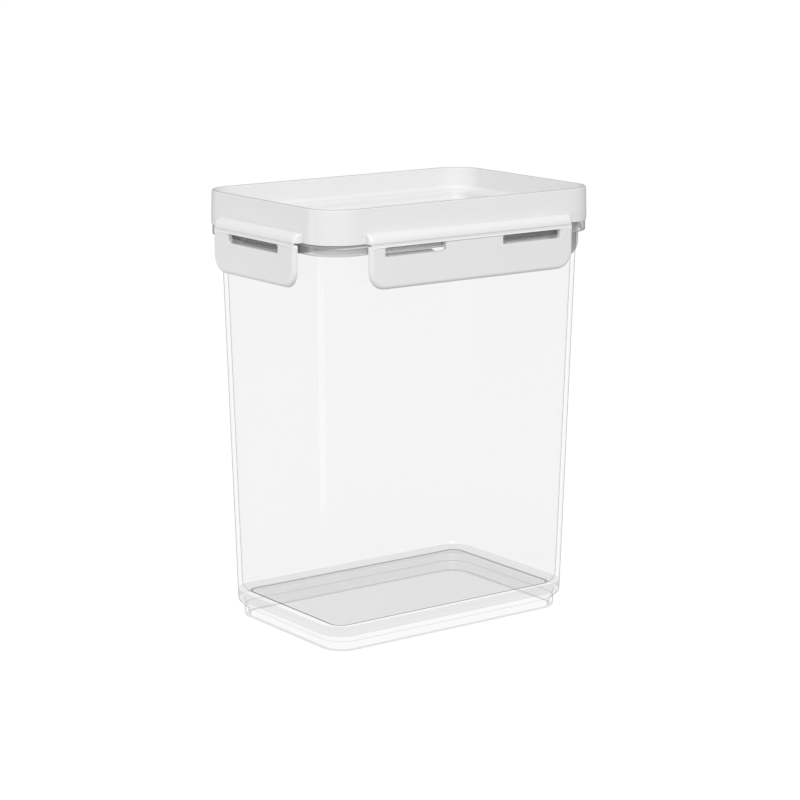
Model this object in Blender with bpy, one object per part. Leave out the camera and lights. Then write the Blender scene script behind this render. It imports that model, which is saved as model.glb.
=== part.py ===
"""Rectangular dry-food canister: clear tub, white stacking lid, seal and four hinged clips.

Metres, +Z up. The origin is on the resting plane, under the middle of the tub.
The long sides face -Y (front) and +Y (back), the short sides -X (left) and +X (right).
"""

import math
from collections import namedtuple

import bmesh
import bpy
from mathutils import Matrix

# Overall sizes
LID_LENGTH = 0.1532          # along X, over the skirt
LID_WIDTH = 0.1040           # along Y, over the skirt
TOTAL_HEIGHT = 0.2009
LID_CORNER = 0.0159          # plan radius of the skirt's corners

# General
GAP = 0.0003                 # between pieces that touch on the real object
CORNER_STEPS = 8             # facets in each rounded plan corner
FILLET_STEPS = 4
SMOOTH_ANGLE = math.radians(32)

# Lid
SKIRT_WALL = 0.0018
SKIRT_DRAFT = 0.00035        # the rim is this much smaller on each side
RIM_ROUNDING = 0.0005
RECESS_DEPTH = 0.0105        # rim to ledge
RECESS_DRAFT = 0.0003
LEDGE_FILLET = 0.0018
POCKET_DEPTH = 0.0039        # ledge to floor, for the foot of the canister above
POCKET_CORNER = 0.0090
LID_PLATE = 0.0018
PLUG_CLEARANCE = 0.00095     # tub's mouth to the sunk pocket's outer wall

# Shoulders, the brows that carry the clips
SHOULDER_REACH = 0.00425     # skirt to clip face
SHOULDER_HEIGHT = 0.0046
SHOULDER_LIP = 0.0005        # upright part below the slope
SHOULDER_SLOPE = [(0.93, 0.20), (0.62, 0.80), (0.42, 0.95)]  # shares of reach and of rise
SHOULDER_END_ROUNDING = 0.0020
SHOULDER_END_FULLNESS = 0.5  # share of the section left at each end
SHOULDER_ROOT = 0.0008       # how far it runs into the skirt wall

# Clips
LONG_CLIP_MARGIN = 0.0039    # start of the lid's rounded corner to the clip's edge
SHORT_CLIP_MARGIN = 0.0035
CLIP_HEIGHT = 0.0197         # fold line to lower edge
CLIP_THICKNESS = 0.0021
CLIP_CORNER = 0.0083
CLIP_EDGE_ROUNDING = 0.0013
CLIP_EDGE_STEPS = 4
FOLD_CLEARANCE = 0.00045     # fold line to skirt bottom and to clip
SLOT_HEIGHT = 0.0039
SLOT_BELOW_FOLD = 0.00145
SLOT_CORNER = 0.0008
LONG_SLOT_INNER_END = 0.0160  # from the middle of the side
LONG_SLOT_MARGIN = 0.0077    # slot's outer end to the clip's edge
SHORT_SLOT_MARGIN = 0.0127

# Film hinges between shoulders and clips
WEB_THICKNESS = 0.0003
WEB_DEPTH = 0.0006
WEB_SET_BACK = 0.0006        # from the clip face
WEB_END_MARGIN = 0.0020

# Tub
FLANGE_INSET = 0.0005        # skirt to flange
FLANGE_HEIGHT = 0.0046
FLANGE_OVERHANG = 0.00405    # flange to tub side
FLANGE_LIP_WALL = 0.0017
FLANGE_GROOVE_DEPTH = 0.0026
TUB_WALL = 0.0021
TUB_DRAFT = 0.00405          # top to bottom of the tub sides
TUB_CORNER = 0.0112
BEAD_HEIGHT = 0.0014         # rim bead above the flange
BEAD_SKIRT_CLEARANCE = 0.0006
FLOOR_TOP = 0.0111
FLOOR_THICKNESS = 0.0025
FLOOR_FILLET = 0.0050
SIDE_BOTTOM = 0.0078         # where the tub sides end above the foot
FOOT_INSET = 0.0021
FOOT_HEIGHT = 0.0045
FOOT_WALL = 0.0025
FOOT_ROUNDING = 0.0012
FOOT_CORNER = 0.0113

# Hooks inside the clips, one at each slot, which catch under the flange
HOOK_CATCH = 0.00105         # how far the tip reaches under the flange
HOOK_END_SETBACK = 0.0041    # slot end to hook end
HOOK_TIP_HEIGHT = 0.0009
HOOK_ROOT_HEIGHT = 0.0026
HOOK_ROOT = 0.0008           # how far it runs into the clip
HOOK_RAMP_DROP = 0.0003      # slot's lower edge to the start of the ramp

# Seal
SEAL_THICKNESS = 0.0014

# Derived levels and outlines
SKIRT_HEIGHT = RECESS_DEPTH + LID_PLATE + GAP + SEAL_THICKNESS + BEAD_HEIGHT
SKIRT_BOTTOM = TOTAL_HEIGHT - SKIRT_HEIGHT
LEDGE_TOP = TOTAL_HEIGHT - RECESS_DEPTH
LEDGE_UNDERSIDE = LEDGE_TOP - LID_PLATE
POCKET_FLOOR = LEDGE_TOP - POCKET_DEPTH
POCKET_UNDERSIDE = POCKET_FLOOR - LID_PLATE
FLANGE_TOP = SKIRT_BOTTOM - GAP
FLANGE_BOTTOM = FLANGE_TOP - FLANGE_HEIGHT
BEAD_TOP = FLANGE_TOP + BEAD_HEIGHT
SEAL_BOTTOM = BEAD_TOP + GAP
FOLD_HEIGHT = SKIRT_BOTTOM - FOLD_CLEARANCE
SIDE_INSET = FLANGE_INSET + FLANGE_OVERHANG
MOUTH_INSET = SIDE_INSET + TUB_WALL
CHANNEL_INNER = MOUTH_INSET + PLUG_CLEARANCE
LEDGE_INNER = CHANNEL_INNER + LID_PLATE
LONG_CLIP_WIDTH = LID_LENGTH - 2 * (LID_CORNER + LONG_CLIP_MARGIN)
SHORT_CLIP_WIDTH = LID_WIDTH - 2 * (LID_CORNER + SHORT_CLIP_MARGIN)
LONG_SLOT_LENGTH = LONG_CLIP_WIDTH / 2 - LONG_SLOT_MARGIN - LONG_SLOT_INNER_END
SHORT_SLOT_LENGTH = SHORT_CLIP_WIDTH - 2 * SHORT_SLOT_MARGIN

Side = namedtuple("Side", "name turn reach clip_width slots")
Section = namedtuple("Section", "inset z corner")

LONG_SLOTS = [
    (side * (LONG_SLOT_INNER_END + LONG_SLOT_LENGTH / 2), LONG_SLOT_LENGTH)
    for side in (-1, 1)
]
SHORT_SLOTS = [(0.0, SHORT_SLOT_LENGTH)]
SIDES = [
    Side("front", 0.0, LID_WIDTH / 2, LONG_CLIP_WIDTH, LONG_SLOTS),
    Side("right", math.pi / 2, LID_LENGTH / 2, SHORT_CLIP_WIDTH, SHORT_SLOTS),
    Side("back", math.pi, LID_WIDTH / 2, LONG_CLIP_WIDTH, LONG_SLOTS),
    Side("left", -math.pi / 2, LID_LENGTH / 2, SHORT_CLIP_WIDTH, SHORT_SLOTS),
]


def clear_scene():
    for obj in list(bpy.context.scene.objects):
        bpy.data.objects.remove(obj, do_unlink=True)


def make_material(name, colour, roughness, alpha=1.0):
    material = bpy.data.materials.new(name)
    material.use_nodes = True
    shader = material.node_tree.nodes["Principled BSDF"]
    shader.inputs["Base Color"].default_value = (*colour, 1.0)
    shader.inputs["Roughness"].default_value = roughness
    shader.inputs["Metallic"].default_value = 0.0
    shader.inputs["Alpha"].default_value = alpha
    material.diffuse_color = (*colour, alpha)
    return material


def object_from(name, bm, material=None):
    """Turns a finished bmesh into a smooth-shaded object."""
    bmesh.ops.recalc_face_normals(bm, faces=bm.faces)
    mesh = bpy.data.meshes.new(name)
    bm.to_mesh(mesh)
    bm.free()
    mesh.shade_smooth()
    mesh.set_sharp_from_angle(angle=SMOOTH_ANGLE)
    obj = bpy.data.objects.new(name, mesh)
    bpy.context.scene.collection.objects.link(obj)
    if material:
        mesh.materials.append(material)
    return obj


def add_boolean(obj, other, operation):
    modifier = obj.modifiers.new(operation.title(), "BOOLEAN")
    modifier.operation = operation
    modifier.solver = "EXACT"
    modifier.object = other
    other.hide_render = True
    other.display_type = "WIRE"


def arc(centre_x, centre_y, radius, start, stop, steps):
    """Points along a circular arc, both ends included."""
    angles = [start + (stop - start) * i / steps for i in range(steps + 1)]
    return [
        (centre_x + radius * math.cos(a), centre_y + radius * math.sin(a)) for a in angles
    ]


def rounded_rectangle(half_x, half_y, radii, steps):
    """Outline of a rectangle; radii are for its corners, counter-clockwise from +X +Y."""
    signs = [(1, 1), (-1, 1), (-1, -1), (1, -1)]
    outline = []
    for quarter, ((sign_x, sign_y), radius) in enumerate(zip(signs, radii)):
        start = quarter * math.pi / 2
        outline += arc(
            sign_x * (half_x - radius),
            sign_y * (half_y - radius),
            radius,
            start,
            start + math.pi / 2,
            steps,
        )
    return outline


def first_ring(bm, points):
    """A closed loop of edges through the points."""
    ring = [bm.verts.new(point) for point in points]
    for pair in zip(ring, ring[1:] + ring[:1]):
        bm.edges.new(pair)
    return ring


def next_ring(bm, ring, points):
    """Extrudes a loop of vertices and moves the new loop onto the points."""
    edges = [bm.edges.get(pair) for pair in zip(ring, ring[1:] + ring[:1])]
    made = bmesh.ops.extrude_edge_only(bm, edges=edges)["geom"]
    grown = {}
    for vert in (v for v in made if isinstance(v, bmesh.types.BMVert)):
        for edge in vert.link_edges:
            grown[edge.other_vert(vert)] = vert
    upper = [grown[vert] for vert in ring]
    for vert, point in zip(upper, points):
        vert.co = point
    return upper


def loft(sections, closed=False):
    """Joins plan outlines given as insets from the lid's skirt, closing both ends or the loop."""
    bm = bmesh.new()
    rings = []
    for section in sections:
        outline = rounded_rectangle(
            LID_LENGTH / 2 - section.inset,
            LID_WIDTH / 2 - section.inset,
            [section.corner] * 4,
            CORNER_STEPS,
        )
        points = [(x, y, section.z) for x, y in outline]
        if rings:
            rings.append(next_ring(bm, rings[-1], points))
        else:
            rings.append(first_ring(bm, points))
    first, last = rings[0], rings[-1]
    if closed:
        for i in range(len(first)):
            bm.faces.new((last[i - 1], last[i], first[i], first[i - 1]))
    else:
        bm.faces.new(first)
        bm.faces.new(last)
    return bm


def prism(points, direction):
    """Extrudes a flat outline of points along the direction."""
    bm = bmesh.new()
    face = bm.faces.new([bm.verts.new(point) for point in points])
    extruded = bmesh.ops.extrude_face_region(bm, geom=[face])["geom"]
    moved = [v for v in extruded if isinstance(v, bmesh.types.BMVert)]
    bmesh.ops.translate(bm, vec=direction, verts=moved)
    bmesh.ops.recalc_face_normals(bm, faces=bm.faces)
    return bm


def on_side(side, local_y, z=0.0):
    """Matrix from a side's own frame to the world; local -Y points outwards."""
    turn = Matrix.Rotation(side.turn, 4, "Z")
    return turn @ Matrix.Translation((0.0, local_y - side.reach, z))


def join(parts):
    """Gathers several bmeshes into one."""
    whole = bmesh.new()
    for part in parts:
        scratch = bpy.data.meshes.new("scratch")
        part.to_mesh(scratch)
        part.free()
        whole.from_mesh(scratch)
        bpy.data.meshes.remove(scratch)
    return whole


def inner_fillet(wall_inset, floor_z, radius, corner):
    """Sections down an inside wall and along an arc onto the floor below it."""
    points = arc(
        wall_inset + radius, floor_z + radius, radius, math.pi, 3 * math.pi / 2, FILLET_STEPS
    )
    return [Section(i, z, max(corner - (i - wall_inset), GAP)) for i, z in points]


def lid_sections():
    """From the pocket's underside, out round the skirt and rim, to the pocket's floor."""
    skirt_inner = LID_CORNER - SKIRT_WALL
    rim_outer = SKIRT_DRAFT + RIM_ROUNDING
    rim_inner = SKIRT_DRAFT + SKIRT_WALL - RIM_ROUNDING
    rim_corner = LID_CORNER - SKIRT_DRAFT
    recess_top = SKIRT_DRAFT + SKIRT_WALL
    recess_bottom = recess_top + RECESS_DRAFT
    return [
        Section(CHANNEL_INNER, POCKET_UNDERSIDE, POCKET_CORNER + LID_PLATE),
        Section(CHANNEL_INNER, LEDGE_UNDERSIDE, POCKET_CORNER + LID_PLATE),
        Section(SKIRT_WALL, LEDGE_UNDERSIDE, skirt_inner),
        Section(SKIRT_WALL, SKIRT_BOTTOM, skirt_inner),
        Section(RIM_ROUNDING, SKIRT_BOTTOM, LID_CORNER - RIM_ROUNDING),
        Section(0.0, SKIRT_BOTTOM + RIM_ROUNDING, LID_CORNER),
        Section(SKIRT_DRAFT, TOTAL_HEIGHT - RIM_ROUNDING, rim_corner),
        Section(rim_outer, TOTAL_HEIGHT, LID_CORNER - rim_outer),
        Section(rim_inner, TOTAL_HEIGHT, LID_CORNER - rim_inner),
        Section(recess_top, TOTAL_HEIGHT - RIM_ROUNDING, LID_CORNER - recess_top),
        *inner_fillet(recess_bottom, LEDGE_TOP, LEDGE_FILLET, LID_CORNER - recess_bottom),
        Section(LEDGE_INNER - RIM_ROUNDING, LEDGE_TOP, POCKET_CORNER + RIM_ROUNDING),
        Section(LEDGE_INNER, LEDGE_TOP - RIM_ROUNDING, POCKET_CORNER),
        Section(LEDGE_INNER, POCKET_FLOOR + RIM_ROUNDING, POCKET_CORNER),
        Section(LEDGE_INNER + RIM_ROUNDING, POCKET_FLOOR, POCKET_CORNER - RIM_ROUNDING),
    ]


def shoulder_profile(fullness):
    """Cross-section in local Y and Z; fullness below 1 draws it in towards the skirt."""
    reach = SHOULDER_REACH * fullness
    rise = (SHOULDER_HEIGHT - SHOULDER_LIP) * fullness
    return [
        (SHOULDER_ROOT, 0.0),
        (-reach, 0.0),
        (-reach, SHOULDER_LIP),
        *[(-out * reach, SHOULDER_LIP + up * rise) for out, up in SHOULDER_SLOPE],
        (SHOULDER_ROOT, SHOULDER_LIP + rise),
    ]


def make_shoulder(side):
    """A brow sloping from the skirt out to the clip's face plane, run along the side."""
    half = side.clip_width / 2
    spare = 1 - SHOULDER_END_FULLNESS
    rounded = [
        (
            half - SHOULDER_END_ROUNDING * (1 - math.sin(a)),
            SHOULDER_END_FULLNESS + spare * math.cos(a),
        )
        for a in (math.pi / 2 * i / FILLET_STEPS for i in range(FILLET_STEPS + 1))
    ]
    stations = [(-x, fullness) for x, fullness in reversed(rounded)] + rounded
    bm = bmesh.new()
    x, fullness = stations[0]
    ring = first_ring(bm, [(x, y, z) for y, z in shoulder_profile(fullness)])
    bm.faces.new(ring)
    for x, fullness in stations[1:]:
        ring = next_ring(bm, ring, [(x, y, z) for y, z in shoulder_profile(fullness)])
    bm.faces.new(ring)
    bm.transform(on_side(side, 0.0, SKIRT_BOTTOM))
    return bm


def make_lid(material):
    lid = object_from("lid", loft(lid_sections()), material)
    for side in SIDES:
        shoulder = object_from(side.name + "_shoulder_block", make_shoulder(side))
        add_boolean(lid, shoulder, "UNION")
    return lid


def tub_sections():
    """From the foot's hollow, round the foot, up the sides, over the rim, down inside."""
    bottom_inset = SIDE_INSET + TUB_DRAFT
    foot_inset = bottom_inset + FOOT_INSET
    hollow_inset = foot_inset + FOOT_WALL
    hollow_corner = FOOT_CORNER - FOOT_WALL
    floor_underside = FLOOR_TOP - FLOOR_THICKNESS
    draft_per_height = TUB_DRAFT / (FLANGE_BOTTOM - SIDE_BOTTOM)
    mouth_corner = TUB_CORNER - TUB_WALL
    inner_bottom = MOUTH_INSET + draft_per_height * (FLANGE_BOTTOM - FLOOR_TOP)
    groove_top = FLANGE_BOTTOM + FLANGE_GROOVE_DEPTH
    lip_inner = FLANGE_INSET + FLANGE_LIP_WALL
    flange_corner = LID_CORNER - FLANGE_INSET
    bead_outer = SKIRT_WALL + BEAD_SKIRT_CLEARANCE
    return [
        Section(hollow_inset + RIM_ROUNDING, floor_underside, hollow_corner - RIM_ROUNDING),
        Section(hollow_inset, floor_underside - RIM_ROUNDING, hollow_corner),
        Section(hollow_inset, 0.0, hollow_corner),
        *[
            Section(i, z, FOOT_CORNER - (i - foot_inset))
            for i, z in arc(
                foot_inset + FOOT_ROUNDING,
                FOOT_ROUNDING,
                FOOT_ROUNDING,
                3 * math.pi / 2,
                math.pi,
                FILLET_STEPS,
            )
        ],
        Section(foot_inset, FOOT_HEIGHT, FOOT_CORNER),
        Section(bottom_inset + RIM_ROUNDING, SIDE_BOTTOM - RIM_ROUNDING, TUB_CORNER),
        Section(bottom_inset, SIDE_BOTTOM, TUB_CORNER),
        Section(SIDE_INSET, FLANGE_BOTTOM, TUB_CORNER),
        Section(SIDE_INSET, groove_top, TUB_CORNER),
        Section(lip_inner, groove_top, flange_corner - FLANGE_LIP_WALL),
        Section(lip_inner, FLANGE_BOTTOM, flange_corner - FLANGE_LIP_WALL),
        Section(FLANGE_INSET + RIM_ROUNDING, FLANGE_BOTTOM, flange_corner - RIM_ROUNDING),
        Section(FLANGE_INSET, FLANGE_BOTTOM + RIM_ROUNDING, flange_corner),
        Section(FLANGE_INSET, FLANGE_TOP - RIM_ROUNDING, flange_corner),
        Section(FLANGE_INSET + RIM_ROUNDING, FLANGE_TOP, flange_corner - RIM_ROUNDING),
        Section(bead_outer, FLANGE_TOP, LID_CORNER - bead_outer),
        Section(bead_outer, BEAD_TOP - RIM_ROUNDING, LID_CORNER - bead_outer),
        Section(bead_outer + RIM_ROUNDING, BEAD_TOP, LID_CORNER - bead_outer - RIM_ROUNDING),
        Section(MOUTH_INSET - RIM_ROUNDING, BEAD_TOP, mouth_corner + RIM_ROUNDING),
        Section(MOUTH_INSET, BEAD_TOP - RIM_ROUNDING, mouth_corner),
        Section(MOUTH_INSET, FLANGE_BOTTOM, mouth_corner),
        *inner_fillet(inner_bottom, FLOOR_TOP, FLOOR_FILLET, mouth_corner),
    ]


def make_tub(material):
    return object_from("tub", loft(tub_sections()), material)


def make_seal(material):
    """A flat ring in the lid's channel, resting on the tub's bead."""
    outer = SKIRT_WALL + GAP
    inner = CHANNEL_INNER - GAP
    outer_corner = LID_CORNER - outer
    inner_corner = POCKET_CORNER + LID_PLATE + GAP
    top = SEAL_BOTTOM + SEAL_THICKNESS
    sections = [
        Section(outer, SEAL_BOTTOM, outer_corner),
        Section(outer, top, outer_corner),
        Section(inner, top, inner_corner),
        Section(inner, SEAL_BOTTOM, inner_corner),
    ]
    return object_from("seal", loft(sections, closed=True), material)


def clip_outline(width):
    """Clip face in local X and Z, with the fold line at Z = 0."""
    top = -FOLD_CLEARANCE
    height = CLIP_HEIGHT + top
    middle = top - height / 2
    outline = rounded_rectangle(
        width / 2,
        height / 2,
        [SLOT_CORNER, SLOT_CORNER, CLIP_CORNER, CLIP_CORNER],
        CORNER_STEPS,
    )
    return [(x, 0.0, middle + z) for x, z in outline]


def make_slot_block(middle, length):
    """Cutter for one slot, through the clip's whole thickness."""
    outline = rounded_rectangle(length / 2, SLOT_HEIGHT / 2, [SLOT_CORNER] * 4, FILLET_STEPS)
    height = -(SLOT_BELOW_FOLD + SLOT_HEIGHT / 2)
    points = [(middle + x, 0.0, height + z) for x, z in outline]
    bm = prism(points, (0.0, 3 * CLIP_THICKNESS, 0.0))
    bmesh.ops.translate(bm, vec=(0.0, -CLIP_THICKNESS, 0.0), verts=bm.verts)
    return bm


def make_hook_block(middle, slot_length):
    """A ramp rising from just below the slot's lower edge to a tip under the flange."""
    half = slot_length / 2 - HOOK_END_SETBACK
    root = CLIP_THICKNESS - HOOK_ROOT
    tip = SHOULDER_REACH + FLANGE_INSET + HOOK_CATCH
    slot_bottom = -(SLOT_BELOW_FOLD + SLOT_HEIGHT)
    tip_top = FLANGE_BOTTOM - GAP - FOLD_HEIGHT
    profile = [
        (root, slot_bottom - HOOK_RAMP_DROP),
        (tip, tip_top),
        (tip, tip_top - HOOK_TIP_HEIGHT),
        (root, slot_bottom - HOOK_ROOT_HEIGHT),
    ]
    return prism([(middle - half, y, z) for y, z in profile], (2 * half, 0.0, 0.0))


def make_clip(side, material):
    """A flap with slots and hooks, hung from its fold line; its origin is on the hinge axis."""
    bm = prism(clip_outline(side.clip_width), (0.0, CLIP_THICKNESS, 0.0))
    rim = [
        edge
        for edge in bm.edges
        if all(abs(v.co.y) < GAP for v in edge.verts)
        and any(v.co.z < -2 * FOLD_CLEARANCE for v in edge.verts)
    ]
    bmesh.ops.bevel(
        bm,
        geom=rim,
        offset=CLIP_EDGE_ROUNDING,
        segments=CLIP_EDGE_STEPS,
        profile=0.5,
        affect="EDGES",
    )
    clip = object_from(side.name + "_clip", bm, material)
    slots = object_from(
        side.name + "_slot_blocks",
        join([make_slot_block(middle, length) for middle, length in side.slots]),
    )
    hooks = object_from(
        side.name + "_hook_blocks",
        join([make_hook_block(middle, length) for middle, length in side.slots]),
    )
    add_boolean(clip, slots, "DIFFERENCE")
    add_boolean(clip, hooks, "UNION")
    place = on_side(side, -SHOULDER_REACH, FOLD_HEIGHT)
    for obj in (clip, slots, hooks):
        obj.location = place.to_translation()
        obj.rotation_euler = (0.0, 0.0, side.turn)
    return clip


def make_hinge_web(side, material):
    """The thin bendable strip along the fold line."""
    bm = bmesh.new()
    bmesh.ops.create_cube(bm, size=1.0)
    length = side.clip_width - 2 * WEB_END_MARGIN
    bmesh.ops.scale(bm, vec=(length, WEB_DEPTH, WEB_THICKNESS), verts=bm.verts)
    bmesh.ops.translate(bm, vec=(0.0, WEB_SET_BACK + WEB_DEPTH / 2, 0.0), verts=bm.verts)
    web = object_from(side.name + "_hinge_web", bm, material)
    web.location = on_side(side, -SHOULDER_REACH, FOLD_HEIGHT).to_translation()
    web.rotation_euler = (0.0, 0.0, side.turn)
    return web


def main():
    clear_scene()
    clear_plastic = make_material("clear_plastic", (0.90, 0.93, 0.94), 0.04, alpha=0.3)
    white_plastic = make_material("white_plastic", (0.84, 0.85, 0.86), 0.35)
    hinge_plastic = make_material("hinge_plastic", (0.86, 0.87, 0.88), 0.45)
    silicone = make_material("silicone", (0.74, 0.77, 0.78), 0.55)
    make_tub(clear_plastic)
    make_lid(white_plastic)
    make_seal(silicone)
    for side in SIDES:
        make_clip(side, white_plastic)
        make_hinge_web(side, hinge_plastic)


main()
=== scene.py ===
import math

import bmesh
import bpy
from mathutils import Matrix, Vector


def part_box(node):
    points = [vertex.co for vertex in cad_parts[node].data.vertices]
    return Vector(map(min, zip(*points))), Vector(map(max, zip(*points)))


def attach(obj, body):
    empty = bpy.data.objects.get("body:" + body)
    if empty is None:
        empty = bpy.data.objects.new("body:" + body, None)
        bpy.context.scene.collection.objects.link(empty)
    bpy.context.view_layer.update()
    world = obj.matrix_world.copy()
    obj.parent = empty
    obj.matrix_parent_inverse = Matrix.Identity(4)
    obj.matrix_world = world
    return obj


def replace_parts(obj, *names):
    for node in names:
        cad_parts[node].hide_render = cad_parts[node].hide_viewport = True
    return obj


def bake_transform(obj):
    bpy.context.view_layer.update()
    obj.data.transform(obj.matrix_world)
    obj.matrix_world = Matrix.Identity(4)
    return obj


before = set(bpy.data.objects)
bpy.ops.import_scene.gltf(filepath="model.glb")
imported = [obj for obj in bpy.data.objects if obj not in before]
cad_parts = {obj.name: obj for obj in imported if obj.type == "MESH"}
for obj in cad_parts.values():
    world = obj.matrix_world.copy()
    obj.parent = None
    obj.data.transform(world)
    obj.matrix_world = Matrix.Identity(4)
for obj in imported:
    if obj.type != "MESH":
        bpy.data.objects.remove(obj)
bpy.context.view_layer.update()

# Looks of the food canister: clear tub, white stacking lid, seal and four clips on film hinges.
# Metres, +Z up, front clip towards -Y.

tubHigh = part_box("tub")[1]
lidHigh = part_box("lid")[1]
sealLow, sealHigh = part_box("seal")
mm = 0.001
same = 0.01 * mm  # two places closer than this count as one
sharpAngle = 38  # degrees; an edge sharper than this stays sharp


# small tools for meshes

profileSteps = 5  # facets in each rounding of a cross-section


def roundedChain(bm, points, place, closed):
    # a chain of edges in the wall's cross-section; each point is (outwards, height, rounding)
    verts = [bm.verts.new(place(out, z)) for out, z, _ in points]
    following = verts[1:] + verts[:1] if closed else verts[1:]
    for pair in zip(verts, following):
        bm.edges.new(pair)
    for vert, (_, _, rounding) in zip(verts, points):
        if rounding:
            bmesh.ops.bevel(bm, geom=[vert], affect="VERTICES", offset=rounding,
                            segments=profileSteps, profile=0.5, offset_type="OFFSET", material=-1)


def sweepAround(points, halfX, halfY, corner, steps, longStops=(), shortStops=(), closed=False):
    # runs the cross-section round a rounded rectangle: straight runs are extruded, corners spun;
    # the stops are extra places along the long and the short sides
    bm = bmesh.new()
    spanX, spanY = halfX - corner, halfY - corner
    roundedChain(bm, points, lambda out, z: (halfX + out, -spanY, z), closed)
    last = bm.verts[:] + bm.edges[:]
    for turn in range(4):
        along = Matrix.Rotation(turn * math.pi / 2, 3, "Z") @ Vector((0, 1, 0))
        reach = spanX if turn % 2 else spanY
        stops = longStops if turn % 2 else shortStops
        marks = [-reach, *[s for s in stops if -reach < s < reach], reach]
        for before, after in zip(marks, marks[1:]):
            made = bmesh.ops.extrude_edge_only(
                bm, edges=[g for g in last if isinstance(g, bmesh.types.BMEdge)])["geom"]
            last = [g for g in made if not isinstance(g, bmesh.types.BMFace)]
            moved = [g for g in last if isinstance(g, bmesh.types.BMVert)]
            bmesh.ops.translate(bm, vec=along * (after - before), verts=moved)
            last = moved + [g for g in last if isinstance(g, bmesh.types.BMEdge)
                            and all(v in moved for v in g.verts)]
        signX, signY = [(1, 1), (-1, 1), (-1, -1), (1, -1)][turn]
        last = bmesh.ops.spin(bm, geom=last, cent=(signX * spanX, signY * spanY, 0), axis=(0, 0, 1),
                              angle=math.pi / 2, steps=steps, use_merge=False)["geom_last"]
    bmesh.ops.remove_doubles(bm, verts=bm.verts, dist=same)
    return bm


def closeEnds(bm):
    # fills the loops left open by a swept cross-section
    bmesh.ops.holes_fill(bm, edges=[edge for edge in bm.edges if edge.is_boundary], sides=0)
    bmesh.ops.recalc_face_normals(bm, faces=bm.faces)


def spread(bm, amount):
    # moves each wall in or out by an amount that depends on height; corners keep their radius
    for vert in bm.verts:
        shift = amount(vert.co.z)
        vert.co.x += shift * math.copysign(1, vert.co.x)
        vert.co.y += shift * math.copysign(1, vert.co.y)


def smoothStep(share):
    share = min(max(share, 0.0), 1.0)
    return share * share * (3 - 2 * share)


def fillMesh(mesh, bm):
    bm.to_mesh(mesh)
    bm.free()
    mesh.shade_smooth()
    mesh.set_sharp_from_angle(angle=math.radians(sharpAngle))


def pieceFrom(name, bm, paints):
    mesh = bpy.data.meshes.new(name)
    fillMesh(mesh, bm)
    for paint in paints:
        mesh.materials.append(paint)
    piece = bpy.data.objects.new(name, mesh)
    bpy.context.scene.collection.objects.link(piece)
    return piece


def evenShading(piece):
    # lets the large flat faces keep flat normals beside their roundings
    weighted = piece.modifiers.new("even shading", "WEIGHTED_NORMAL")
    weighted.keep_sharp = True
    weighted.weight = 50


def applyBoolean(piece, other, operation):
    cut = piece.modifiers.new(operation.lower(), "BOOLEAN")
    cut.operation = operation
    cut.solver = "EXACT"
    cut.object = other
    graph = bpy.context.evaluated_depsgraph_get()
    done = bpy.data.meshes.new_from_object(piece.evaluated_get(graph))
    piece.modifiers.remove(cut)
    piece.data = done
    bpy.data.objects.remove(other, do_unlink=True)


# shader tools

class Wire:
    # one socket of a material, so that shader maths reads as an expression
    def __init__(self, paint, socket):
        self.paint = paint
        self.socket = socket

    def maths(self, operation, first, second):
        return self.paint.add("ShaderNodeMath", {"operation": operation}, {0: first, 1: second})

    def __add__(self, other):
        return self.maths("ADD", self, other)

    def __sub__(self, other):
        return self.maths("SUBTRACT", self, other)

    def __rsub__(self, other):
        return self.maths("SUBTRACT", other, self)

    def __mul__(self, other):
        return self.maths("MULTIPLY", self, other)

    def __pow__(self, other):
        return self.maths("POWER", self, other)

    __radd__ = __add__
    __rmul__ = __mul__


class Paint:
    # a material and a short way to add nodes to it
    def __init__(self, name):
        self.material = bpy.data.materials.new(name)
        self.material.use_nodes = True
        self.tree = self.material.node_tree
        self.tree.nodes.clear()

    def add(self, kind, settings, sockets, out=0):
        node = self.tree.nodes.new(kind)
        for key, value in settings.items():
            setattr(node, key, value)
        for key, value in sockets.items():
            if isinstance(value, Wire):
                self.tree.links.new(value.socket, node.inputs[key])
            else:
                node.inputs[key].default_value = value
        return Wire(self, node.outputs[out]) if node.outputs else None

    def noise(self, scale, detail):
        place = self.add("ShaderNodeTexCoord", {}, {}, out="Object")
        return self.add("ShaderNodeTexNoise", {},
                        {"Vector": place, "Scale": scale, "Detail": detail})

    def height(self):
        place = self.add("ShaderNodeTexCoord", {}, {}, out="Object")
        return self.add("ShaderNodeSeparateXYZ", {}, {0: place}, out="Z")

    def fade(self, value, start, end):
        # 0 up to start, 1 from end on
        return self.add("ShaderNodeMapRange", {"interpolation_type": "SMOOTHSTEP"},
                        {"Value": value, "From Min": start, "From Max": end})

    def around(self, middle, spread, pattern):
        # a value that wanders with a pattern of 0 to 1, evenly to both sides of the middle
        return pattern * spread + (middle - spread / 2)

    def blendColours(self, share, first, second):
        return self.add("ShaderNodeMix", {"data_type": "RGBA"},
                        {0: share, 6: first, 7: second}, out=2)

    def bump(self, height, distance):
        return self.add("ShaderNodeBump", {}, {"Height": height, "Distance": distance})

    def finish(self, shader):
        self.add("ShaderNodeOutputMaterial", {}, {"Surface": shader})
        return self.material


whitePlastic = {
    "colour": (0.815, 0.815, 0.817, 1),
    "shade": (0.790, 0.790, 0.793, 1),
    "roughness": 0.33,
    "roughnessSpread": 0.10,
    "grainScale": 2600,
    "grainDepth": 0.012 * mm,
    "flowScale": 22,
    "flowDepth": 0.05 * mm,
    # painted shade: the grey and the depth of the band along the top of the rim
    "rimShadeColour": (0.50, 0.50, 0.505, 1),
    "rimShadeDepth": 0.30 * mm,
    "ior": 1.49,
}


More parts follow.
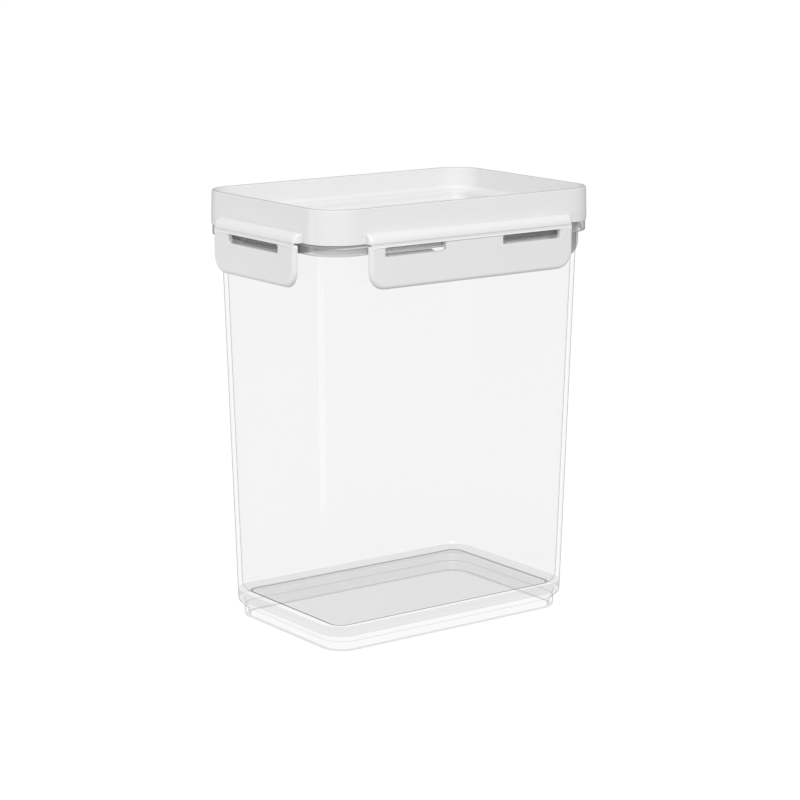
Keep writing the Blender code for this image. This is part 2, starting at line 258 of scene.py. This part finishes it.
def makeWhitePlastic(name, facts):
    # satin moulded plastic: a very fine even grain over a slow unevenness of the moulding,
    # with painted shade greying the top of the rim, standing in for the dark reflection there
    paint = Paint(name)
    flow = paint.noise(facts["flowScale"], detail=1.0)
    grain = paint.noise(facts["grainScale"], detail=3.0)
    height = flow * (facts["flowDepth"] / facts["grainDepth"]) + grain
    fresh = paint.blendColours(flow, facts["shade"], facts["colour"])
    # painted shade: the top of the rim is darkened to stand in for the dark reflection it shows
    paintedRimShade = paint.fade(paint.height(), lidHigh.z - facts["rimShadeDepth"], lidHigh.z)
    return paint.finish(paint.add("ShaderNodeBsdfPrincipled", {}, {
        "Base Color": paint.blendColours(paintedRimShade, fresh, facts["rimShadeColour"]),
        "Roughness": paint.around(facts["roughness"], facts["roughnessSpread"], grain),
        "IOR": facts["ior"],
        "Normal": paint.bump(height, facts["grainDepth"]),
    }))


clearPlastic = {
    "pass": (0.996, 0.996, 0.997, 1),
    "edge": (0.10, 0.10, 0.102, 1),
    "gloss": (0.62, 0.62, 0.625, 1),
    "roughness": 0.035,
    "edgeStart": 0.80,
    "edgeFull": 0.93,
    "glossPower": 11.0,
    "straightGloss": 0.035,
    "milk": 0.0,
    "flowScale": 30,
    "flowDepth": 0.02 * mm,
}

# painted shade: the thick rim lets less light through than the walls, standing in for the dark that
# bent light shows there; its milky share is a matt surface lit by the lamps
clearFlangeShade = {
    "pass": (0.95, 0.95, 0.955, 1),
    "edge": (0.60, 0.60, 0.605, 1),
    "gloss": (0.70, 0.70, 0.705, 1),
    "roughness": 0.06,
    "edgeStart": 0.50,
    "edgeFull": 1.0,
    "glossPower": 5.0,
    "straightGloss": 0.05,
    "milk": 0.30,
    "flowScale": 60,
    "flowDepth": 0.03 * mm,
    "milkColour": (0.66, 0.66, 0.665, 1),
}

# painted shade: darker see-through copies for the tub's narrow creases, its thick bottom and the
# edge of its floor, where bent light shows dark lines
clearCreaseShade = {**clearPlastic, "pass": (0.80, 0.80, 0.805, 1)}
clearBottomShade = {**clearPlastic, "pass": (0.86, 0.86, 0.865, 1)}
clearFloorEdgeShade = {**clearPlastic, "pass": (0.55, 0.55, 0.555, 1)}


def makeClearPlastic(name, facts):
    # clear walls: light goes straight through, with a gloss and darker edges seen at a slant
    paint = Paint(name)
    flow = paint.noise(facts["flowScale"], detail=1.0)
    bump = paint.bump(flow, facts["flowDepth"])
    slant = paint.add("ShaderNodeLayerWeight", {}, {"Blend": 0.5, "Normal": bump}, out="Facing")
    mirror = slant ** facts["glossPower"] * (1 - facts["straightGloss"]) + facts["straightGloss"]
    through = paint.add("ShaderNodeBsdfTransparent", {}, {"Color": facts["pass"]})
    edge = paint.add("ShaderNodeBsdfTransparent", {}, {"Color": facts["edge"]})
    edgeShare = paint.fade(slant, facts["edgeStart"], facts["edgeFull"])
    walls = paint.add("ShaderNodeMixShader", {}, {0: edgeShare, 1: through, 2: edge})
    if facts["milk"]:
        # thick plastic scatters a little of the light
        haze = paint.add("ShaderNodeBsdfDiffuse", {}, {"Color": facts["milkColour"]})
        walls = paint.add("ShaderNodeMixShader", {}, {0: facts["milk"], 1: walls, 2: haze})
    gloss = paint.add("ShaderNodeBsdfGlossy", {}, {"Color": facts["gloss"],
                                                   "Roughness": facts["roughness"], "Normal": bump})
    return paint.finish(paint.add("ShaderNodeMixShader", {}, {0: mirror, 1: walls, 2: gloss}))


silicone = {
    "colour": (0.78, 0.80, 0.80, 1),
    "shade": (0.70, 0.73, 0.73, 1),
    "roughness": 0.52,
    "roughnessSpread": 0.12,
    "grainScale": 900,
    "grainDepth": 0.02 * mm,
    "ior": 1.41,
    "softShare": 0.2,
    "softDepth": 2 * mm,
}


def makeSilicone(name, facts):
    # soft, slightly translucent rubber with a fine matt grain
    paint = Paint(name)
    grain = paint.noise(facts["grainScale"], detail=2.0)
    return paint.finish(paint.add("ShaderNodeBsdfPrincipled", {}, {
        "Base Color": paint.blendColours(grain, facts["shade"], facts["colour"]),
        "Roughness": paint.around(facts["roughness"], facts["roughnessSpread"], grain),
        "IOR": facts["ior"],
        "Subsurface Weight": facts["softShare"],
        "Subsurface Radius": (facts["softDepth"], facts["softDepth"], facts["softDepth"]),
        "Subsurface Scale": 1.0,
        "Normal": paint.bump(grain, facts["grainDepth"]),
    }))


filmPlastic = {**whitePlastic, "roughness": 0.45, "flowDepth": 0.02 * mm}

lidPaint = makeWhitePlastic("white moulded plastic", whitePlastic)
hingePaint = makeWhitePlastic("hinge film", filmPlastic)
tubPaint = makeClearPlastic("clear plastic", clearPlastic)
flangeShadePaint = makeClearPlastic("clear plastic, thick rim, painted shade", clearFlangeShade)
creaseShadePaint = makeClearPlastic("clear plastic, crease, painted shade", clearCreaseShade)
bottomShadePaint = makeClearPlastic("clear plastic, thick bottom, painted shade", clearBottomShade)
floorEdgeShadePaint = makeClearPlastic("clear plastic, edge of the floor, painted shade", clearFloorEdgeShade)
sealPaint = makeSilicone("silicone", silicone)
print("materials made")


# lid

shoulder = {
    "reach": 4.25 * mm,
    "height": 4.2 * mm,
    "lip": 0.5 * mm,
    "fullness": 2.5,
    "lean": 0.10,
    "tuck": 0.12 * mm,
    "seam": 0.12 * mm,
    "endRounding": 2.1 * mm,
    "endWidth": 0.02 * mm,
    "endSteps": 8,
    "slopeSteps": 20,
}

lid = {
    "corner": 15.9 * mm,
    "draft": 0.35 * mm,
    "wall": 1.8 * mm,
    "rimRounding": 0.55 * mm,
    "recess": 10.5 * mm,
    "ledgeWidth": 7.6 * mm,
    "ledgeFillet": 1.8 * mm,
    "pocket": 3.9 * mm,
    "plate": 1.8 * mm,
    "skirt": 15.4 * mm,
    "pocketRounding": 0.8 * mm,
    "recessDraft": 0.3 * mm,
    "flatRun": 1.5 * mm,
    "underRounding": 0.6 * mm,
    "channelRounding": 0.5 * mm,
    "edgeRounding": 0.25 * mm,
    "edgeHeight": 0.18 * mm,
    "cornerSteps": 24,
}

lidHalfX = lidHigh.x - shoulder["reach"]
lidHalfY = lidHigh.y - shoulder["reach"]
rimHeight = lidHigh.z
skirtBottom = rimHeight - lid["skirt"]
ledgeTop = rimHeight - lid["recess"]
pocketFloor = ledgeTop - lid["pocket"]


def shoulderStops(half):
    # places along a side where the shoulder's ends change shape, with its reach there
    rounding, steps = shoulder["endRounding"], shoulder["endSteps"]
    share = 1 - rounding / shoulder["reach"]
    stops = [(half + shoulder["endWidth"], 0.0)]
    for i in range(steps + 1):
        angle = math.pi / 2 * i / steps
        place = half - rounding * (1 - math.cos(angle))
        stops.append((place, share + (1 - share) * math.sin(angle)))
    return stops


def shoulderSection(rise):
    # share of the reach at a share of the rise: a full, rounded bulge that leans back a little
    fullness = shoulder["fullness"]
    return (1 - shoulder["lean"] * rise) * (1 - min(rise, 1) ** fullness) ** (1 / fullness)


def shoulderReach(stops, along, z):
    # how far the shoulder stands out at a place along its side and at a height
    rise = (z - skirtBottom - shoulder["lip"]) / (shoulder["height"] - shoulder["lip"])
    if rise >= 1:
        return 0.0
    nearest = [share for place, share in stops if abs(place - abs(along)) < same / 2]
    if nearest:
        share = nearest[0]
    else:
        share = 1.0 if abs(along) < stops[-1][0] else 0.0
    tuck = shoulder["tuck"] if z < skirtBottom + lid["edgeHeight"] / 2 else 0.0
    return (shoulder["reach"] - tuck) * share * shoulderSection(max(rise, 0))


def makeLid(paint):
    wall, draft = lid["wall"], lid["draft"]
    frontClip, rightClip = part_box("front_clip"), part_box("right_clip")
    longStops = shoulderStops(frontClip[1].x)
    shortStops = shoulderStops(rightClip[1].y)
    ledgeInner = wall + lid["ledgeWidth"]
    # levels of the shoulder's slope, closer together towards its rounded top
    rises = [1 - (1 - i / shoulder["slopeSteps"]) ** 2 for i in range(shoulder["slopeSteps"] + 1)]
    lipTop = skirtBottom + shoulder["lip"]
    slope = [lipTop + (shoulder["height"] - shoulder["lip"]) * rise for rise in rises]
    points = [
        (-ledgeInner - lid["flatRun"], pocketFloor - lid["plate"], 0),
        (-ledgeInner + lid["plate"], pocketFloor - lid["plate"], lid["underRounding"]),
        (-ledgeInner + lid["plate"], ledgeTop - lid["plate"], lid["channelRounding"]),
        (-wall, ledgeTop - lid["plate"], lid["channelRounding"]),
        (-wall, skirtBottom, lid["edgeRounding"]),
        (0, skirtBottom, 0),
        (0, skirtBottom + lid["edgeHeight"], 0),
        *[(0, z, 0) for z in slope],
        (0, skirtBottom + shoulder["height"] + shoulder["seam"], 0),
        (-draft, rimHeight, lid["rimRounding"]),
        (-draft - wall, rimHeight, lid["rimRounding"]),
        (-draft - wall - lid["recessDraft"], ledgeTop, lid["ledgeFillet"]),
        (-ledgeInner, ledgeTop, lid["pocketRounding"]),
        (-ledgeInner, pocketFloor, lid["pocketRounding"]),
        (-ledgeInner - lid["flatRun"], pocketFloor, 0),
    ]
    bm = sweepAround(points, lidHalfX, lidHalfY, lid["corner"], lid["cornerSteps"],
                     longStops=sorted([s for s, _ in longStops] + [-s for s, _ in longStops]),
                     shortStops=sorted([s for s, _ in shortStops] + [-s for s, _ in shortStops]))
    closeEnds(bm)
    shoulderTop = skirtBottom + shoulder["height"]
    for vert in bm.verts:
        x, y, z = vert.co
        if z > shoulderTop + same:
            continue
        if abs(abs(y) - lidHalfY) < same and abs(x) < lidHalfX - lid["corner"] + same:
            vert.co.y += math.copysign(shoulderReach(longStops, x, z), y)
        elif abs(abs(x) - lidHalfX) < same and abs(y) < lidHalfY - lid["corner"] + same:
            vert.co.x += math.copysign(shoulderReach(shortStops, y, z), x)
    piece = pieceFrom("lidShell", bm, [paint])
    evenShading(piece)
    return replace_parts(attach(piece, "lid"), "lid")


makeLid(lidPaint)
print("lid made")


# tub

tub = {
    "wall": 2.1 * mm,
    "draft": 4.05 * mm,
    "flangeInset": 0.5 * mm,
    "overhang": 4.05 * mm,
    "flangeHeight": 4.6 * mm,
    "lipWall": 1.7 * mm,
    "groove": 2.6 * mm,
    "bead": 1.4 * mm,
    "beadInset": 2.4 * mm,
    "floorTop": 11.1 * mm,
    "floor": 2.5 * mm,
    "floorFillet": 5.0 * mm,
    "sideBottom": 7.8 * mm,
    "footInset": 2.1 * mm,
    "footHeight": 4.5 * mm,
    "footWall": 2.5 * mm,
    "stepRises": (0.8 * mm, 1.65 * mm, 2.5 * mm),
    "hollowRun": 1.5 * mm,
    "floorRun": 0.6 * mm,
    "hollowRounding": 0.6 * mm,
    "footInnerRounding": 0.5 * mm,
    "footRounding": 1.2 * mm,
    "grooveRounding": 0.3 * mm,
    "flangeRounding": 0.45 * mm,
    "beadFillet": 0.3 * mm,
    "beadRounding": 0.5 * mm,
    "mouthRounding": 0.6 * mm,
    "crease": 0.35 * mm,
    "footCrease": 0.45 * mm,
    "floorCrease": 0.3 * mm,
    "floorCreaseTilt": (0.93, 0.999),
    "bottomBand": 12.5 * mm,
    "cornerSteps": 24,
}
tubWalls, tubRimShade, tubCreaseShade, tubBottomShade, tubFloorEdgeShade = range(5)  # places of the tub's paints

beadTop = tubHigh.z
flangeTop = beadTop - tub["bead"]
flangeBottom = flangeTop - tub["flangeHeight"]


def tubSpread(z):
    # the sides lean in towards the bottom, and the foot steps in below them
    lean = tub["draft"] * min(max((flangeBottom - z) / (flangeBottom - tub["sideBottom"]), 0), 1)
    step = (tub["sideBottom"] - z) / (tub["sideBottom"] - tub["footHeight"])
    return -lean - tub["footInset"] * smoothStep(step)


def tubPaintSlot(face):
    # which of the tub's paints a face takes; all but the plain walls carry painted shade
    lowest = min(vert.co.z for vert in face.verts)
    highest = max(vert.co.z for vert in face.verts)
    middle = face.calc_center_median()
    if lowest > flangeBottom - same:
        return tubRimShade
    if highest < tub["footCrease"]:
        return tubCreaseShade
    steep, flat = tub["floorCreaseTilt"]
    if abs(lowest - tub["floorTop"]) < tub["floorCrease"] and steep < face.normal.z < flat:
        return tubFloorEdgeShade
    if face.normal.x * middle.x + face.normal.y * middle.y <= 0:
        return tubWalls
    for level in (tub["footHeight"], tub["sideBottom"]):
        if lowest > level - same and highest < level + tub["crease"] + same:
            return tubCreaseShade
    return tubBottomShade if tub["sideBottom"] < highest < tub["bottomBand"] + same else tubWalls


def makeTub(paints):
    # from the hollow under the floor, out round the foot, up to the rim and down inside
    side = -tub["flangeInset"] - tub["overhang"]
    mouth = side - tub["wall"]
    lipInner = -tub["flangeInset"] - tub["lipWall"]
    grooveTop = flangeBottom + tub["groove"]
    foot = side - tub["footWall"]
    points = [
        (foot - tub["hollowRun"], tub["floorTop"] - tub["floor"], 0),
        (foot, tub["floorTop"] - tub["floor"], tub["hollowRounding"]),
        (foot, 0, tub["footInnerRounding"]),
        (side, 0, tub["footRounding"]),
        (side, tub["footHeight"], 0),
        (side, tub["footHeight"] + tub["crease"], 0),
        *[(side, tub["footHeight"] + rise, 0) for rise in tub["stepRises"]],
        (side, tub["sideBottom"], 0),
        (side, tub["sideBottom"] + tub["crease"], 0),
        (side, tub["bottomBand"], 0),
        (side, flangeBottom, 0),
        (side, grooveTop, tub["grooveRounding"]),
        (lipInner, grooveTop, tub["grooveRounding"]),
        (lipInner, flangeBottom, tub["grooveRounding"]),
        (-tub["flangeInset"], flangeBottom, tub["flangeRounding"]),
        (-tub["flangeInset"], flangeTop, tub["flangeRounding"]),
        (-tub["beadInset"], flangeTop, tub["beadFillet"]),
        (-tub["beadInset"], beadTop, tub["beadRounding"]),
        (mouth, beadTop, tub["mouthRounding"]),
        (mouth, flangeBottom, 0),
        (mouth, tub["floorTop"], tub["floorFillet"]),
        (mouth - tub["floorFillet"] - tub["floorRun"], tub["floorTop"], 0),
    ]
    bm = sweepAround(points, lidHalfX, lidHalfY, lid["corner"], tub["cornerSteps"])
    closeEnds(bm)
    spread(bm, tubSpread)
    bm.normal_update()
    for face in bm.faces:
        face.material_index = tubPaintSlot(face)
    piece = pieceFrom("tubBody", bm, paints)
    evenShading(piece)
    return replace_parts(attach(piece, "tub"), "tub")


makeTub([tubPaint, flangeShadePaint, creaseShadePaint, bottomShadePaint, floorEdgeShadePaint])
print("tub made")


# seal

seal = {
    "width": 5.2 * mm,
    "lipRounding": 0.3 * mm,
    "rib": 0.25 * mm,
    "ribFoot": 0.8 * mm,
    "ribTop": 0.4 * mm,
    "lipWidth": 0.7 * mm,
    "cornerSteps": 24,
}


def makeSeal(paint):
    # a flat ring with a shallow groove along the middle of its underside
    outer = sealHigh.x - lidHalfX
    inner = outer - seal["width"]
    middle = (outer + inner) / 2
    low, high = sealLow.z, sealHigh.z
    rounding, rib = seal["lipRounding"], seal["rib"]
    points = [
        (outer, low, rounding),
        (outer, high, rounding),
        (inner, high, rounding),
        (inner, low, rounding),
        (middle - seal["ribFoot"], low, 0),
        (middle - seal["ribTop"], low + rib, 0),
        (middle + seal["ribTop"], low + rib, 0),
        (middle + seal["ribFoot"], low, 0),
        (outer - seal["lipWidth"], low, 0),
    ]
    bm = sweepAround(points, lidHalfX, lidHalfY, lid["corner"], seal["cornerSteps"], closed=True)
    bmesh.ops.recalc_face_normals(bm, faces=bm.faces)
    piece = pieceFrom("sealRing", bm, [paint])
    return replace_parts(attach(piece, "lid"), "seal")


# clips

clip = {
    "corner": 8.3 * mm,
    "topCorner": 0.9 * mm,
    "thickness": 2.1 * mm,
    "edgeRounding": 1.9 * mm,
    "topRounding": 0.95 * mm,
    "topSteps": 6,
    "edgeSteps": 6,
    "innerRounding": 0.1 * mm,
    "innerSteps": 2,
    "cornerSteps": 10,
    "slotSteps": 5,
    "slotHeight": 3.9 * mm,
    "slotBelowFold": 1.45 * mm,
    "slotCorner": 0.8 * mm,
    "slotRounding": 0.22 * mm,
    "slotRoundingSteps": 3,
    "slotAngle": 60,
    "longSlot": 33.1 * mm,
    "longSlotStart": 16.0 * mm,
    "shortSlot": 39.8 * mm,
    "hookSetback": 4.1 * mm,
    "hookTip": 0.9 * mm,
    "hookRoot": 2.6 * mm,
    "hookDepth": 0.8 * mm,
    "hookReach": 1.05 * mm,
    "hookGap": 0.3 * mm,
    "rampDrop": 0.3 * mm,
    "foldAbove": 0.45 * mm,
}

longSlots = [(side * (clip["longSlotStart"] + clip["longSlot"] / 2), clip["longSlot"])
             for side in (-1, 1)]
sides = {
    "front": (0.0, lidHalfY, longSlots),
    "right": (math.pi / 2, lidHalfX, [(0.0, clip["shortSlot"])]),
    "back": (math.pi, lidHalfY, longSlots),
    "left": (-math.pi / 2, lidHalfX, [(0.0, clip["shortSlot"])]),
}


def roundedPlate(halfX, halfZ, middle, cornerTop, cornerBottom, steps):
    # an upright plate outline facing -Y
    bm = bmesh.new()
    bmesh.ops.create_grid(bm, x_segments=1, y_segments=1, size=1)
    bmesh.ops.rotate(bm, matrix=Matrix.Rotation(math.pi / 2, 3, "X"), verts=bm.verts)
    bmesh.ops.scale(bm, vec=(halfX, 1, halfZ), verts=bm.verts)
    for rounding, top in ((cornerTop, True), (cornerBottom, False)):
        corners = [v for v in bm.verts if (v.co.z > 0) == top]
        bmesh.ops.bevel(bm, geom=corners, affect="VERTICES", offset=rounding, segments=steps,
                        profile=0.5, offset_type="OFFSET", material=-1)
    bmesh.ops.translate(bm, vec=middle, verts=bm.verts)
    return bm


def thicken(bm, move):
    # extrudes a flat outline into a closed block
    made = bmesh.ops.extrude_face_region(bm, geom=bm.faces[:])["geom"]
    moved = [g for g in made if isinstance(g, bmesh.types.BMVert)]
    bmesh.ops.translate(bm, vec=move, verts=moved)
    bmesh.ops.recalc_face_normals(bm, faces=bm.faces)


def slotCutter(middle, length, foldHeight, faceY):
    # a rounded block that passes right through the clip
    height = foldHeight - clip["slotBelowFold"] - clip["slotHeight"] / 2
    start = (middle, faceY - 2 * clip["thickness"], height)
    bm = roundedPlate(length / 2, clip["slotHeight"] / 2, start,
                      clip["slotCorner"], clip["slotCorner"], clip["slotSteps"])
    thicken(bm, (0, 4 * clip["thickness"], 0))
    return pieceFrom("cutter", bm, [])


def hookBlock(middle, length, foldHeight, faceY):
    # a ramp that rises inwards from the slot's lower edge to a tip below the tub's flange
    half = length / 2 - clip["hookSetback"]
    slotBottom = foldHeight - clip["slotBelowFold"] - clip["slotHeight"]
    tipTop = flangeBottom - clip["hookGap"]
    tip = shoulder["reach"] + tub["flangeInset"] + clip["hookReach"]
    root = clip["thickness"] - clip["hookDepth"]
    outline = [(root, slotBottom - clip["rampDrop"]), (tip, tipTop),
               (tip, tipTop - clip["hookTip"]), (root, slotBottom - clip["hookRoot"])]
    bm = bmesh.new()
    bm.faces.new([bm.verts.new((middle - half, faceY + y, z)) for y, z in outline])
    thicken(bm, (2 * half, 0, 0))
    return pieceFrom("hook", bm, [])


def roundTop(bm, top, innerY):
    # turns the outer face's top edge back in a quarter round
    radius, steps = clip["topRounding"], clip["topSteps"]
    for i in range(steps):
        level = top - radius * (1 - math.sin(math.pi / 2 * i / steps))
        bmesh.ops.bisect_plane(bm, geom=bm.verts[:] + bm.edges[:] + bm.faces[:], dist=same / 10,
                               plane_co=(0, 0, level), plane_no=(0, 0, 1))
    for vert in bm.verts:
        share = 1 - (top - vert.co.z) / radius
        if share > 0:
            drop = radius * (1 - math.sqrt(max(1 - share * share, 0)))
            vert.co.y += drop * min((innerY - vert.co.y) / clip["thickness"], 1)


def roundSlots(piece, faceY, foldHeight, slots):
    # softens the slots' outer edges
    bm = bmesh.new()
    bm.from_mesh(piece.data)
    bmesh.ops.remove_doubles(bm, verts=bm.verts, dist=same / 5)
    top = foldHeight - clip["slotBelowFold"]
    bottom = top - clip["slotHeight"]
    margin = 5 * same
    edges = []
    for edge in bm.edges:
        if len(edge.link_faces) != 2 or edge.calc_face_angle(0) < math.radians(clip["slotAngle"]):
            continue
        if all(abs(v.co.y - faceY) < margin and bottom - margin < v.co.z < top + margin
               and any(abs(v.co.x - middle) < length / 2 + margin for middle, length in slots)
               for v in edge.verts):
            edges.append(edge)
    bmesh.ops.bevel(bm, geom=edges, affect="EDGES", offset=clip["slotRounding"],
                    segments=clip["slotRoundingSteps"], profile=0.5, material=-1)
    fillMesh(piece.data, bm)


def makeClip(name, paint):
    # a rounded plate below the shoulder, with its slots cut and a hook behind each slot
    turn, reach, slots = sides[name]
    low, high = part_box(name + "_clip")
    width = max(high.x - low.x, high.y - low.y)
    foldHeight = high.z + clip["foldAbove"]
    faceY = -(reach + shoulder["reach"])
    bm = roundedPlate(width / 2, (high.z - low.z) / 2, (0, faceY, (high.z + low.z) / 2),
                      clip["topCorner"], clip["corner"], clip["cornerSteps"])
    thicken(bm, (0, clip["thickness"], 0))
    innerY = faceY + clip["thickness"]
    for y, rounding, segments in ((faceY, clip["edgeRounding"], clip["edgeSteps"]),
                                  (innerY, clip["innerRounding"], clip["innerSteps"])):
        # every edge of this face but its top one
        edges = [e for e in bm.edges if all(abs(v.co.y - y) < same for v in e.verts)
                 and not all(v.co.z > high.z - 5 * same for v in e.verts)]
        bmesh.ops.bevel(bm, geom=edges, affect="EDGES", offset=rounding, segments=segments,
                        profile=0.5, material=-1)
    roundTop(bm, high.z, innerY)
    piece = pieceFrom(name + "Clip", bm, [paint])
    for middle, length in slots:
        applyBoolean(piece, slotCutter(middle, length, foldHeight, faceY), "DIFFERENCE")
        applyBoolean(piece, hookBlock(middle, length, foldHeight, faceY), "UNION")
    roundSlots(piece, faceY, foldHeight, slots)
    piece.data.transform(Matrix.Rotation(turn, 4, "Z"))
    evenShading(piece)
    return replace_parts(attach(piece, name + "_clip"), name + "_clip")


# film hinges

film = {
    "thickness": 0.55 * mm,
    "setBack": 0.28 * mm,
    "overlap": 0.06 * mm,
    "clipOverlap": 0.27 * mm,
    "endMargin": 0.9 * mm,
    "rows": 8,
    "columns": 24,
}


def makeFilm(name, paint):
    # a thin strip between the lid's shoulder and its clip
    turn, reach, _ = sides[name]
    low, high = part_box(name + "_clip")
    width = max(high.x - low.x, high.y - low.y)
    outer = -(reach + shoulder["reach"]) + film["setBack"]
    bottom, top = high.z - film["clipOverlap"], skirtBottom + film["overlap"]
    bm = bmesh.new()
    bmesh.ops.create_grid(bm, x_segments=film["columns"], y_segments=film["rows"], size=1)
    bmesh.ops.rotate(bm, matrix=Matrix.Rotation(math.pi / 2, 3, "X"), verts=bm.verts)
    bmesh.ops.scale(bm, vec=(width / 2 - film["endMargin"], 1, (top - bottom) / 2), verts=bm.verts)
    bmesh.ops.translate(bm, vec=(0, outer, (top + bottom) / 2), verts=bm.verts)
    thicken(bm, (0, film["thickness"], 0))
    piece = pieceFrom(name + "Film", bm, [paint])
    piece.data.transform(Matrix.Rotation(turn, 4, "Z"))
    name + "_clip"
    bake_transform(piece)
    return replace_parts(piece, name + "_hinge_web")


makeSeal(sealPaint)
for sideName in sides:
    makeClip(sideName, lidPaint)
    makeFilm(sideName, hingePaint)
print("seal, clips and film hinges made")


# floor, light and camera

floorLook = {
    "colour": (0.57, 0.57, 0.572, 1),
    "mottle": (0.59, 0.59, 0.592, 1),
    "size": 30.0,
    "mottleScale": 0.7,
    "seenWhite": 0.94,
    "glow": 1.05,
    "glowColour": (1, 1, 1, 1),
}


def makeFloor():
    # pale paper that is seen nearly white; the object itself is lit by its duller matt side
    paint = Paint("pale floor")
    seen = paint.add("ShaderNodeLightPath", {}, {}, out="Is Camera Ray")
    mottle = paint.noise(floorLook["mottleScale"], detail=2.0)
    matt = paint.add("ShaderNodeBsdfDiffuse", {}, {
        "Color": paint.blendColours(mottle, floorLook["colour"], floorLook["mottle"])})
    glow = paint.add("ShaderNodeEmission", {}, {
        "Color": floorLook["glowColour"], "Strength": floorLook["glow"]})
    share = seen * floorLook["seenWhite"]
    material = paint.finish(paint.add("ShaderNodeMixShader", {}, {0: share, 1: matt, 2: glow}))
    bm = bmesh.new()
    bmesh.ops.create_grid(bm, x_segments=1, y_segments=1, size=floorLook["size"])
    floor = pieceFrom("floor", bm, [material])


lamps = {
    # name: (azimuth, elevation, distance, width, height, power)
    "key": (-31, 42, 1.7, 1.2, 1.2, 17.5),
    "corner strip": (-108, 0, 0.26, 0.07, 0.2, 0.09),
}
lampAimHeight = 0.1


def makeLamp(name, azimuth, elevation, distance, width, height, power):
    light = bpy.data.lights.new(name, "AREA")
    light.shape = "RECTANGLE"
    light.size, light.size_y = width, height
    light.energy = power
    lamp = bpy.data.objects.new(name, light)
    lamp.visible_camera = False
    a, e = math.radians(azimuth), math.radians(elevation)
    back = Vector((math.sin(a) * math.cos(e), -math.cos(a) * math.cos(e), math.sin(e)))
    lamp.location = Vector((0, 0, lampAimHeight)) + back * distance
    lamp.rotation_euler = back.to_track_quat("Z", "Y").to_euler()
    bpy.context.scene.collection.objects.link(lamp)


studio = {"colour": (1, 1, 1, 1), "strength": 0.60, "seenStrength": 1.0}


def makeWorld():
    # even grey room light; where it is seen directly it is white, as the floor is
    world = bpy.data.worlds.new("soft studio")
    bpy.context.scene.world = world
    world.use_nodes = True
    tree = world.node_tree
    background = tree.nodes["Background"]
    background.inputs["Color"].default_value = studio["colour"]
    path = tree.nodes.new("ShaderNodeLightPath")
    level = tree.nodes.new("ShaderNodeMapRange")
    level.inputs["To Min"].default_value = studio["strength"]
    level.inputs["To Max"].default_value = studio["seenStrength"]
    tree.links.new(path.outputs["Is Camera Ray"], level.inputs["Value"])
    tree.links.new(level.outputs["Result"], background.inputs["Strength"])


view = {
    "azimuth": -36.349,
    "elevation": 11.893,
    "distance": 1175.8 * mm,
    "target": (-1.726 * mm, -2.446 * mm, 101.761 * mm),
    "lens": 113.66,
    "sensor": 36,
    "farLimit": 100,
}


def makeCamera():
    lens = bpy.data.cameras.new("camera")
    lens.lens = view["lens"]
    lens.sensor_width = view["sensor"]
    lens.clip_end = view["farLimit"]
    camera = bpy.data.objects.new("camera", lens)
    a, e = math.radians(view["azimuth"]), math.radians(view["elevation"])
    back = Vector((math.sin(a) * math.cos(e), -math.cos(a) * math.cos(e), math.sin(e)))
    camera.location = Vector(view["target"]) + back * view["distance"]
    camera.rotation_euler = back.to_track_quat("Z", "Y").to_euler()
    bpy.context.scene.collection.objects.link(camera)
    bpy.context.scene.camera = camera


makeFloor()
makeWorld()
for lampName, facts in lamps.items():
    makeLamp(lampName, *facts)
makeCamera()
bpy.context.scene.view_settings.view_transform = "Standard"
print("floor, light and camera made")
